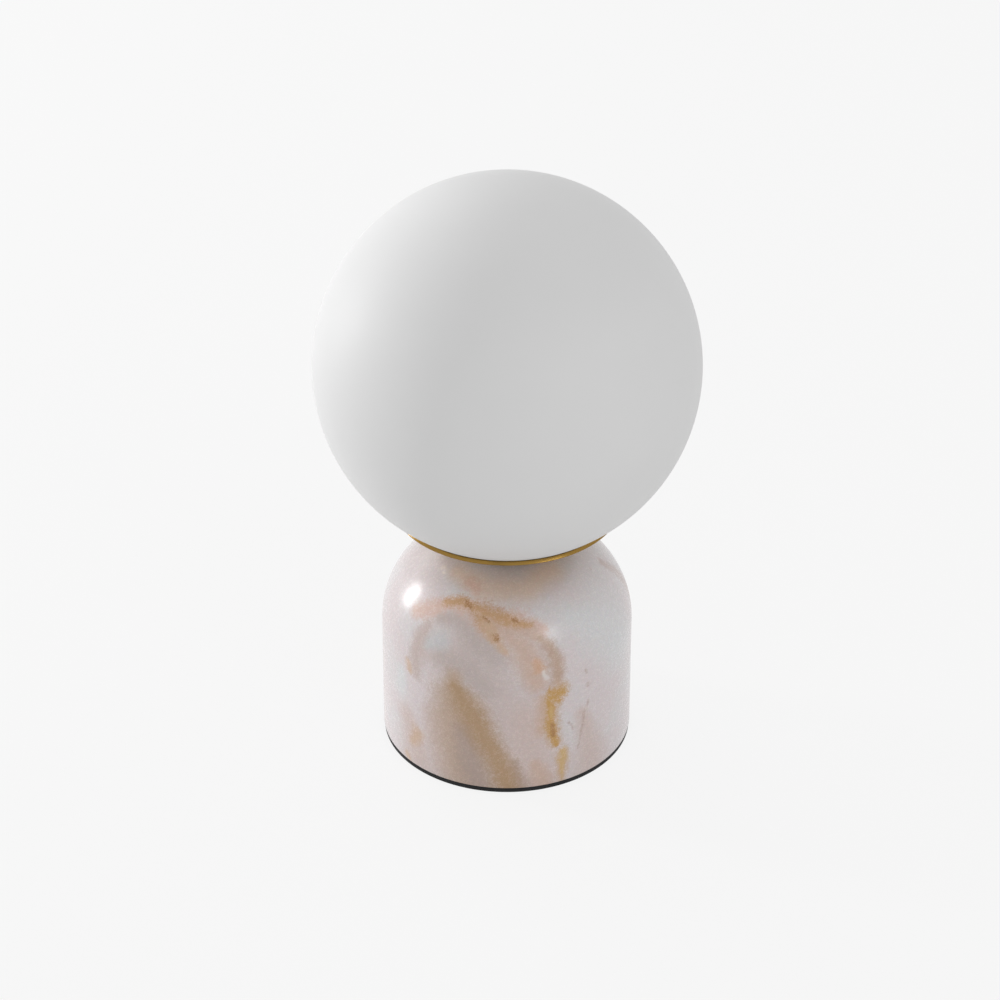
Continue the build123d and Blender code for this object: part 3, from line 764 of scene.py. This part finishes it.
makeBrassDish(dishValues)
print("brass dish made")


rubberFinish = {
    "colour": (0.012, 0.012, 0.012, 1),
    "shade": 1.5,  # the second tint is the first one times this, plus the lift
    "lift": 0.004, "grainSize": 0.5, "cloudSize": 12.0, "metallic": 0.0, "roughness": 0.85,
    "smoother": 0.08, "rougher": 0.08, "bump": 0.0001, "bumpStrength": 0.7,
}
plainFinish = {
    "shade": 0.9, "lift": 0.0, "grainSize": 0.25, "cloudSize": 6.0, "metallic": 0.0, "roughness": 0.45,
    "smoother": 0.06, "rougher": 0.09, "bump": 0.00001, "bumpStrength": 0.5,
}
metalFinish = {**plainFinish, "shade": 0.75, "metallic": 1.0}
finishValues = {
    "blackRubber": rubberFinish,
    "blackPad": {**rubberFinish, "colour": (0.004, 0.004, 0.0045, 1)},
    "grommetPlastic": {**rubberFinish, "colour": (0.018, 0.018, 0.019, 1), "grainSize": 0.4,
                       "roughness": 0.45, "bump": 0.00003},
    "zincSteel": {**metalFinish, "colour": (0.60, 0.61, 0.62, 1), "roughness": 0.32},
    "contactNickel": {**metalFinish, "colour": (0.66, 0.63, 0.57, 1), "roughness": 0.25},
    "whitePlastic": {**plainFinish, "colour": (0.78, 0.78, 0.76, 1), "roughness": 0.35},
    "glazedCeramic": {**plainFinish, "colour": (0.78, 0.77, 0.73, 1), "roughness": 0.16},
    "frostedCover": {**plainFinish, "colour": (0.84, 0.84, 0.82, 1), "roughness": 0.5},
    "softSilicone": {**plainFinish, "colour": (0.76, 0.76, 0.75, 1), "roughness": 0.55},
    "blackPlastic": {**plainFinish, "colour": (0.02, 0.02, 0.022, 1)},
    "brownInsulation": {**plainFinish, "colour": (0.13, 0.05, 0.02, 1)},
    "blueInsulation": {**plainFinish, "colour": (0.02, 0.09, 0.36, 1)},
}


# a finish whose tint clouds over into a second one
def makeCloudyMaterial(name, values):
    tree, shader = newMaterial(name)
    texture = grainTexture(tree, millimetres(tree), values)
    second = [channel * values["shade"] + values["lift"] for channel in values["colour"][:3]] + [1]
    cloud = remap(tree, texture["Cloud"], fromMin=0.35, fromMax=0.7)
    colour = mixColour(tree, cloud, values["colour"], second)
    rough = waver(tree, texture["Grain"], values)
    setSockets(shader, {"Base Color": colour, "Roughness": rough, "Metallic": values["metallic"]})
    bumpInto(tree, shader, texture["Grain"], values)


for name, values in finishValues.items():
    makeCloudyMaterial(name, values)
makeBrassMaterial("turnedBrass", brassValues)
print("plain finishes made")


padValues = {"round": 0.0004, "steps": 192}


def makeFootPad(values):
    radius, low, high = spanOf("foot_pad")
    piece = addCylinder("footPad", radius, low, high, values["steps"])
    atFoot, atTop = ringAt(low), ringAt(high)
    bevelEdges(piece, lambda a, b: atFoot(a, b) or atTop(a, b), values["round"])
    finishPiece(piece, "base", "blackPad", "foot_pad")


grommetValues = {
    "bore": 0.0032, "barrel": 0.0047, "length": 0.01, "thickness": 0.0015, "mouthRound": 0.0005,
}


def makeCableGrommet(values):
    bore, barrel, length, thick, soft = take(values, "bore barrel length thickness mouthRound")
    low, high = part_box("cable_grommet")
    flange = (high.x - low.x) / 2
    outline = [(bore, -length), (barrel, -length), (barrel, 0), (flange, 0), (flange, thick), (bore, thick)]
    outline = roundOutline(outline, [0, soft, 0, 0, thick / 2, soft])
    piece = turnProfile("cableGrommet", outline, mediumSides)
    layAlongY(piece, high.y - thick, (low.z + high.z) / 2)
    finishPiece(piece, "base", "grommetPlastic", "cable_grommet")


makeFootPad(padValues)
makeCableGrommet(grommetValues)
print("foot pad and grommet made")


sealValues = {
    "floor": 0.001, "innerLeg": 0.0008, "wall": 0.003, "outerLeg": 0.0013, "outerHeight": 0.0012,
    "round": 0.0003,
}


def makeGlobeSeal(values):
    outer, low, high = spanOf("globe_seal")
    neckOutside = outer - values["outerLeg"]
    neckInside = neckOutside - values["wall"]
    inner = neckInside - values["innerLeg"]
    step = low + values["floor"]
    legTop = step + values["outerHeight"]
    outline = [(inner, low), (outer, low), (outer, legTop), (neckOutside, legTop), (neckOutside, step),
               (neckInside, step), (neckInside, high), (inner, high)]
    soft = values["round"]
    outline = roundOutline(outline, [soft, soft, soft, 0, 0, 0, soft / 2, soft / 2], steps=4)
    piece = turnProfile("globeSeal", outline, largeSides)
    finishPiece(piece, "globe", "softSilicone", "globe_seal")


sleeveValues = {"wall": 0.0013, "chamfer": 0.0003}


def makeStemSleeve(values):
    outer, low, high = spanOf("stem_sleeve")
    outline = ringOutline(outer - values["wall"], outer, low, high)
    outline = roundOutline(outline, [values["chamfer"]] * 4, steps=3)
    piece = turnProfile("stemSleeve", outline, mediumSides)
    finishPiece(piece, "base", "turnedBrass", "stem_sleeve")


nutValues = {
    "bore": 0.00505, "boreChamfer": 0.0006, "threads": 3, "threadDepth": 0.00035,
    "turn": 30,  # degrees
    "chamfer": 0.0007,
    "chamferAngle": 30,
    "spare": 0.00002,  # added to the hexagon's radius for the disc
}


# a hexagon cut to a chamfered disc, with a threaded bore
def makeHexNut(name, node, values):
    radius, low, high = spanOf(node)
    bore, mouth, threads, deep = take(values, "bore boreChamfer threads threadDepth")
    nut = addCylinder(name, radius, low, high, sides=6)
    nut.rotation_euler = (0, 0, math.radians(values["turn"]))
    settle(nut)
    outer, cut = radius + values["spare"], values["chamfer"]
    lift = cut * math.tan(math.radians(values["chamferAngle"]))
    disc = [(0, low), (outer - cut, low), (outer, low + lift), (outer, high - lift), (outer - cut, high),
            (0, high)]
    cutWith(nut, turnProfile("nutDisc", disc, mediumSides), "INTERSECT")
    wide = bore + mouth
    pitch = (high - low - 2 * mouth) / threads
    thread = [(0, low - past), (wide, low - past), (wide, low), (bore, low + mouth)]
    for turn in range(threads):
        foot = low + mouth + turn * pitch
        thread += [(bore + deep, foot + pitch / 2), (bore, foot + pitch)]
    thread += [(wide, high), (wide, high + past), (0, high + past)]
    cutWith(nut, turnProfile("boreCutter", thread, smallSides))
    finishPiece(nut, "base", "zincSteel", node, sharpAngle=25)


washerValues = {
    "bore": 0.0051, "root": 0.0075, "teeth": 12, "overlap": 0.0004, "gapWidth": 0.0014,
    "twist": 6,  # degrees
    "thickness": 0.62,  # share of the height that its twisted teeth take up
}


# an external-tooth washer, each tooth tilted about its own radius
def makeLockWasher(name, node, values):
    radius, low, high = spanOf(node)
    bore, teeth, root = take(values, "bore teeth root")
    middle = (low + high) / 2
    half = (high - low) * values["thickness"] / 2
    parts = [turnProfile(name, ringOutline(bore, root, middle - half, middle + half), mediumSides)]
    width = math.tau * radius / teeth - values["gapWidth"]
    inside = root - values["overlap"]
    reach = math.sqrt(radius ** 2 - (width / 2) ** 2) - inside
    for tooth in range(teeth):
        piece = addBlock(name + "Tooth", (-width / 2, 0, -half), (width / 2, reach, half))
        editPiece(piece)
        selectCorners(piece, lambda corner: corner.y < reach / 2)
        bpy.ops.transform.resize(value=(root / radius, 1, 1))
        clearSelection()
        turn = math.tau * (tooth + 0.5) / teeth
        piece.rotation_euler = (0, math.radians(values["twist"]), 0)
        settle(piece)
        piece.rotation_euler = (0, 0, turn)
        piece.location = (-math.sin(turn) * inside, math.cos(turn) * inside, middle)
        settle(piece)
        parts.append(piece)
    finishPiece(joinCopies(name, parts), "base", "zincSteel", node, sharpAngle=25)


screwSpread = 0.0093  # the lampholder's screws and contacts, from its axis
pinSpread = 0.0045


cupValues = {
    "wall": 0.0009, "floor": 0.0015, "bossRadius": 0.0085, "bossHeight": 0.005, "bore": 0.00505,
    "grubBore": 0.00155, "screwHole": 0.00155,
    "boreRound": 0.0003, "bossRound": 0.0004, "floorRound": 0.0005,
}


def makeHolderCup(values):
    wall, thick, boss, bore = take(values, "wall floor bossRadius bore")
    outer, low, rim = spanOf("holder_cup")
    inner = outer - wall
    under = low + values["bossHeight"]
    floor = under + thick
    outline = [(bore, low), (boss, low), (boss, under), (outer, under), (outer, rim), (inner, rim),
               (inner, floor), (bore, floor)]
    mouth, root, corner = take(values, "boreRound bossRound floorRound")
    outline = roundOutline(outline, [mouth, wall, root, thick, wall / 3, wall / 4, corner, 0])
    shell = turnProfile("holderCup", outline, largeSides)
    grub = addCylinder("grubCutter", values["grubBore"], 0, 2 * farPast, screwSides)
    grub.rotation_euler = (math.radians(90), 0, 0)
    grub.location = (0, 0, (low + under) / 2)
    settle(grub)
    cutWith(shell, grub)
    for y in (-screwSpread, screwSpread):
        drill(shell, values["screwHole"], under - past, floor + past, screwSides, y=y)
    finishPiece(shell, "base", "turnedBrass", "holder_cup", sharpAngle=30)


bodyValues = {
    "edge": 0.0004, "chamberRadius": 0.0112, "chamberHeight": 0.0076, "pillarRadius": 0.003,
    "slotSpread": 0.0045, "slotRadius": 0.0032, "slotDepth": 0.0065,
    "pocketX": 0.0021, "pocketY": 0.00115,
    "screwHole": 0.0016, "headRadius": 0.00285, "headDepth": 0.0024,
}


def makeHolderBody(values):
    hole, head = take(values, "screwHole headRadius")
    halfX, halfY = take(values, "pocketX pocketY")
    radius, low, high = spanOf("holder_body")
    roof = low + values["chamberHeight"]
    slotFloor = high - values["slotDepth"]
    body = addCylinder("holderBody", radius, low, high, largeSides)
    chamber = addCylinder("chamberCutter", values["chamberRadius"], low - past, roof, mediumSides)
    for y in (-screwSpread, screwSpread):
        drill(chamber, values["pillarRadius"], low - 2 * past, roof + past, tinySides, y=y)
    cutWith(body, chamber)
    slot = take(values, "slotSpread slotRadius")
    cutWith(body, addSlotBar("slotCutter", *slot, slotFloor, high + past, tinySides))
    for side in (-1, 1):
        x = side * pinSpread
        y = side * screwSpread
        near, far = (x - halfX, -halfY, roof - past), (x + halfX, halfY, slotFloor + past)
        cutWith(body, addBlock("pocketCutter", near, far))
        drill(body, hole, low - past, high + past, tinySides, y=y)
        drill(body, head, high - values["headDepth"], high + past, smallSides, y=y)
    bevelEdges(body, ringAt(high), values["edge"])
    finishPiece(body, "base", "glazedCeramic", "holder_body", sharpAngle=40)


screwValues = {
    "headRadius": 0.00275, "headHeight": 0.0019, "crown": 0.0006,
    "slotWidth": 0.0007, "slotDepth": 0.0008, "slotReach": 0.005,
    "radius": 0.0015, "pitch": 0.0005, "threadDepth": 0.0002,
    "tip": 0.7,  # share of the thread's root
}


# slotted screws, heads up, with a thread of plain ridges
def makeHolderScrews(values):
    head, radius, pitch, crown = take(values, "headRadius radius pitch crown")
    wide, reach = take(values, "slotWidth slotReach")
    low, top = spanOf("holder_screws")[1:]
    seat = top - values["headHeight"]
    root = radius - values["threadDepth"]
    outline = [(0, low), (root * values["tip"], low)]
    height = low + pitch
    while height < seat - pitch:
        outline += [(root, height), (radius, height + pitch / 2)]
        height += pitch
    rounding = arcPoints((head - crown, top - crown), crown, 0, 90, steps=5)
    outline += [(root, seat), (head, seat), *rounding, (0, top)]
    screws = []
    for side in (-1, 1):
        screw = turnProfile("holderScrew", outline, tinySides)
        near, far = (-reach, -wide / 2, top - values["slotDepth"]), (reach, wide / 2, top + past)
        cutWith(screw, addBlock("slotCutter", near, far))
        screw.location = (0, side * screwSpread, 0)
        settle(screw)
        screws.append(screw)
    piece = joinCopies("holderScrews", screws)
    finishPiece(piece, "base", "zincSteel", "holder_screws", sharpAngle=30)


plugValues = {
    "length": 0.0146, "width": 0.0056, "edge": 0.0005,
    "collarFoot": 0.0078, "flare": 0.0025, "collarHeight": 0.006, "shoulder": 0.001,
    "overlap": 0.0005,  # the tongue's root inside the collar
}


def makeBulbBase(values):
    foot, edge = take(values, "collarFoot edge")
    radius, low, high = spanOf("bulb_base")
    seat = high - values["collarHeight"]
    outline = [(0, seat), (foot, seat), (radius, seat + values["flare"]), (radius, high), (0, high)]
    outline = roundOutline(outline, [0, edge, values["shoulder"], edge / 2, 0], steps=4)
    collar = turnProfile("bulbBase", outline, mediumSides)
    half = values["width"] / 2
    spread, top = values["length"] / 2 - half, seat + values["overlap"]
    tongue = addSlotBar("plugTongue", spread, half, low, top, smallSides)
    bevelEdges(tongue, ringAt(low), edge)
    cutWith(collar, tongue, "UNION")
    finishPiece(collar, "bulb", "whitePlastic", "bulb_base", sharpAngle=30)


pinValues = {"wire": 0.00045, "loopWidth": 0.0022, "sides": 16, "bends": 12}


# two wire loops: a ring of corners drawn down, spun through half a turn and drawn up again
def makeBulbPins(values):
    wire, sides = take(values, "wire sides")
    half = values["loopWidth"] / 2
    foot, top = spanOf("bulb_pins")[1:]
    low = foot + wire + half
    loops = []
    for side in (-1, 1):
        x = side * pinSpread
        loop = addPrimitive("pinLoop", bpy.ops.mesh.primitive_circle_add, vertices=sides, radius=wire,
                            fill_type="NGON", location=(x - half, 0, top))
        editPiece(loop)
        bpy.ops.mesh.select_mode(type="FACE")
        selectAll()
        bpy.ops.mesh.extrude_region_move(TRANSFORM_OT_translate={"value": (0, 0, low - top)})
        bpy.ops.mesh.spin(steps=values["bends"], angle=math.pi, center=(x, 0, low), axis=(0, -1, 0))
        bpy.ops.mesh.extrude_region_move(TRANSFORM_OT_translate={"value": (0, 0, top - low)})
        selectAll()
        bpy.ops.mesh.normals_make_consistent(inside=False)
        clearSelection()
        loops.append(loop)
    piece = joinCopies("bulbPins", loops)
    finishPiece(piece, "bulb", "contactNickel", "bulb_pins", sharpAngle=50)


capsuleValues = {"wall": 0.001, "domeSteps": 16, "footLip": 0.0004}


def makeBulbEnvelope(values):
    wall, steps, lip = take(values, "wall domeSteps footLip")
    radius, low, high = spanOf("bulb_envelope")
    inner, centre = radius - wall, (0, high - radius)
    outline = [(inner, low), (radius - lip, low), (radius, low + lip)]
    outline += arcPoints(centre, radius, 0, 90, steps) + arcPoints(centre, inner, 90, 0, steps)
    piece = turnProfile("bulbEnvelope", outline, mediumSides)
    finishPiece(piece, "bulb", "frostedCover", "bulb_envelope", sharpAngle=40)


makeGlobeSeal(sealValues)
makeStemSleeve(sleeveValues)
makeHexNut("upperNut", "upper_nut", nutValues)
makeHexNut("lowerNut", "lower_nut", nutValues)
makeLockWasher("upperLockWasher", "upper_lock_washer", washerValues)
makeLockWasher("lowerLockWasher", "lower_lock_washer", washerValues)
makeHolderCup(cupValues)
makeHolderBody(bodyValues)
makeHolderScrews(screwValues)
makeBulbBase(plugValues)
makeBulbPins(pinValues)
makeBulbEnvelope(capsuleValues)
print("stem, lampholder and bulb made")


# which of the frame's slots each material goes to, on the nodes carried over
slotsOf = {
    "zincSteel": "zinc_steel", "contactNickel": "contact_spring", "turnedBrass": "terminal_brass brass",
    "whitePlastic": "white_plastic bulb_plastic led_board", "glazedCeramic": "ceramic",
    "frostedCover": "frosted_cover", "blackPlastic": "black_plastic", "softSilicone": "silicone",
    "brownInsulation": "brown_insulation", "blueInsulation": "blue_insulation",
    "blackRubber": "black_rubber black_pad", "polishedMarble": "marble", "satinOpalGlass": "opal_glass",
}
finishes = {slot: bpy.data.materials[name] for name, slots in slotsOf.items() for slot in slots.split()}
slotOf = {part["node"]: part["material_slot"] for part in frame["record"]["subparts"]}
for name, node in frame["nodes"].items():
    for slot in node.material_slots:
        slot.material = finishes[slotOf[name]]
print("nodes finished")


stageValues = {
    "floorSize": 12.0,
    "floorTone": (0.85, 0.85, 0.85, 1),  # as the lamp is lit by it
    "seenTone": (0.09, 0.09, 0.09, 1),  # as the camera sees it, with the glow added
    "floorGlow": (0.854, 0.854, 0.854, 1),
    "floorRoughness": 0.9,
    "backdrop": (0.922, 0.922, 0.922, 1),
    "ambient": (0.632, 0.632, 0.632, 1),
}
lampValues = {
    "key": {"side": -110, "height": 9, "reach": 1.6, "width": 0.24, "tall": 0.54, "power": 9.3},
    "high": {"side": -144, "height": 30, "reach": 1.6, "width": 1.0, "tall": 1.0, "power": 3.7},
    "fill": {"side": 41, "height": 20, "reach": 1.6, "width": 0.50, "tall": 0.36, "power": 2.4},
}


# 1 for rays from the camera, and for mirror and see-through rays
def seenDirectly(tree):
    path = addNode(tree, "ShaderNodeLightPath")
    seen = calculate(tree, "MAXIMUM", path.outputs["Is Camera Ray"], path.outputs["Is Glossy Ray"])
    return calculate(tree, "MAXIMUM", seen, path.outputs["Is Transmission Ray"])


def makeFloor(values):
    clearSelection()
    underside = spanOf("foot_pad")[1]
    bpy.ops.mesh.primitive_plane_add(size=values["floorSize"], location=(0, 0, underside))
    floor = bpy.context.object
    floor.name = "paleFloor"
    tree, shader = newMaterial("paleFloor")
    seen = seenDirectly(tree)
    tone = mixColour(tree, seen, values["floorTone"], values["seenTone"])
    glow = mixColour(tree, seen, (0, 0, 0, 1), values["floorGlow"])
    setSockets(shader, {"Base Color": tone, "Emission Color": glow, "Emission Strength": 1.0,
                        "Roughness": values["floorRoughness"], "Specular IOR Level": 0.0})
    floor.data.materials.append(bpy.data.materials["paleFloor"])


def makeWorld(values):
    world = bpy.data.worlds.new("paleStudio")
    bpy.context.scene.world = world
    world.use_nodes = True
    tree = world.node_tree
    shown = mixColour(tree, seenDirectly(tree), values["ambient"], values["backdrop"])
    setSockets(tree.nodes["Background"], {"Color": shown})


def makeLamp(name, values):
    side, height = math.radians(values["side"]), math.radians(values["height"])
    away = Vector((math.sin(side) * math.cos(height), -math.cos(side) * math.cos(height), math.sin(height)))
    aim = Vector((0, 0, (marbleTop + globeCentre) / 2))
    turned = away.to_track_quat("Z", "Y").to_euler()
    clearSelection()
    bpy.ops.object.light_add(type="AREA", location=aim + away * values["reach"], rotation=turned)
    lamp = bpy.context.object
    lamp.name = name
    lamp.data.shape = "RECTANGLE"
    lamp.data.size = values["width"]
    lamp.data.size_y = values["tall"]
    lamp.data.energy = values["power"]


makeFloor(stageValues)
makeWorld(stageValues)
for lampName, values in lampValues.items():
    makeLamp(lampName + "Lamp", values)
bpy.context.scene.view_settings.view_transform = "Standard"
print("stage and lamps set")
